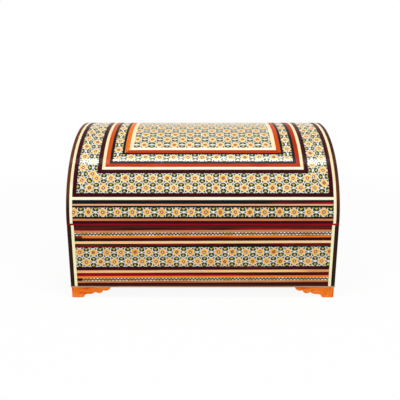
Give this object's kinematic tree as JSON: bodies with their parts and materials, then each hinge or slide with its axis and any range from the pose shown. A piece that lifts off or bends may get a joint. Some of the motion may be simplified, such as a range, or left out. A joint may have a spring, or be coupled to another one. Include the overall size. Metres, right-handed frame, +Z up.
{
  "type": "inlaid jewelry box",
  "caption": "Rectangular inlaid jewelry box with a hinged barrel lid, marquetry strips all over, a velvet lining and scalloped bracket feet.",
  "frame": {"origin": "on the ground, under the middle of the whole box with its hinges", "axes": "+X along the box's length to the right, +Y from the front to the hinged back, +Z up"},
  "size_m": [0.27, 0.2168, 0.17],
  "materials": {
    "carcass_wood": "plain sanded softwood board",
    "crimson_rim": "crimson stained strip, glossy lacquer",
    "corner_edging": "dark brown and cream strips, glossy lacquer",
    "body_banding": "dark, tan and zigzag strips, glossy lacquer",
    "khatam": "fine star marquetry of pale bone, gold and dark wood, glossy lacquer",
    "lid_edge_strip": "brown and cream strips, glossy lacquer",
    "lid_banding": "maroon, salmon, cream and star strips, glossy lacquer",
    "dark_stringing": "maroon black stringing, glossy lacquer",
    "orange_stringing": "cream, orange and black stringing, glossy lacquer",
    "foot_wood": "orange stained wood, satin lacquer",
    "velvet": "burgundy cotton velvet",
    "hinge_brass": "polished brass"
  },
  "bodies": {
    "body": {"base_board": "carcass_wood", "front_wall": "carcass_wood", "back_wall": "carcass_wood", "left_wall": "carcass_wood", "right_wall": "carcass_wood", "body_rim": "crimson_rim", "front_left_corner_edging": "corner_edging", "front_right_corner_edging": "corner_edging", "back_left_corner_edging": "corner_edging", "back_right_corner_edging": "corner_edging", "front_upper_banding": "body_banding", "front_khatam_band": "khatam", "front_lower_banding": "body_banding", "back_upper_banding": "body_banding", "back_khatam_band": "khatam", "back_lower_banding": "body_banding", "left_upper_banding": "body_banding", "left_khatam_band": "khatam", "left_lower_banding": "body_banding", "right_upper_banding": "body_banding", "right_khatam_band": "khatam", "right_lower_banding": "body_banding", "floor_pad": "velvet", "front_wall_lining": "velvet", "back_wall_lining": "velvet", "left_wall_lining": "velvet", "right_wall_lining": "velvet", "front_left_foot": "foot_wood", "front_right_foot": "foot_wood", "back_right_foot": "foot_wood", "back_left_foot": "foot_wood", "left_hinge_body_leaf": "hinge_brass", "left_hinge_pin": "hinge_brass", "right_hinge_body_leaf": "hinge_brass", "right_hinge_pin": "hinge_brass"},
    "lid": {"lid_barrel": "carcass_wood", "lid_left_end_board": "carcass_wood", "lid_right_end_board": "carcass_wood", "lid_rim": "crimson_rim", "lid_left_edge_strip": "lid_edge_strip", "lid_right_edge_strip": "lid_edge_strip", "lid_front_banding": "lid_banding", "lid_back_banding": "lid_banding", "lid_dark_line_frame": "dark_stringing", "lid_khatam_border": "khatam", "lid_outer_stringing_frame": "orange_stringing", "lid_khatam_frame": "khatam", "lid_inner_stringing_frame": "orange_stringing", "lid_centre_khatam_panel": "khatam", "lid_left_end_panel": "khatam", "lid_right_end_panel": "khatam", "lid_lining": "velvet", "lid_left_end_lining": "velvet", "lid_right_end_lining": "velvet", "left_hinge_lid_leaf": "hinge_brass", "right_hinge_lid_leaf": "hinge_brass"}
  },
  "joints": [
    {"name": "lid_hinge", "type": "hinge", "parent": "body", "child": "lid", "pos_m": [0, 0.10395, 0.0785], "axis": [-1, 0, 0], "range_deg": [0, 100]}
  ]
}
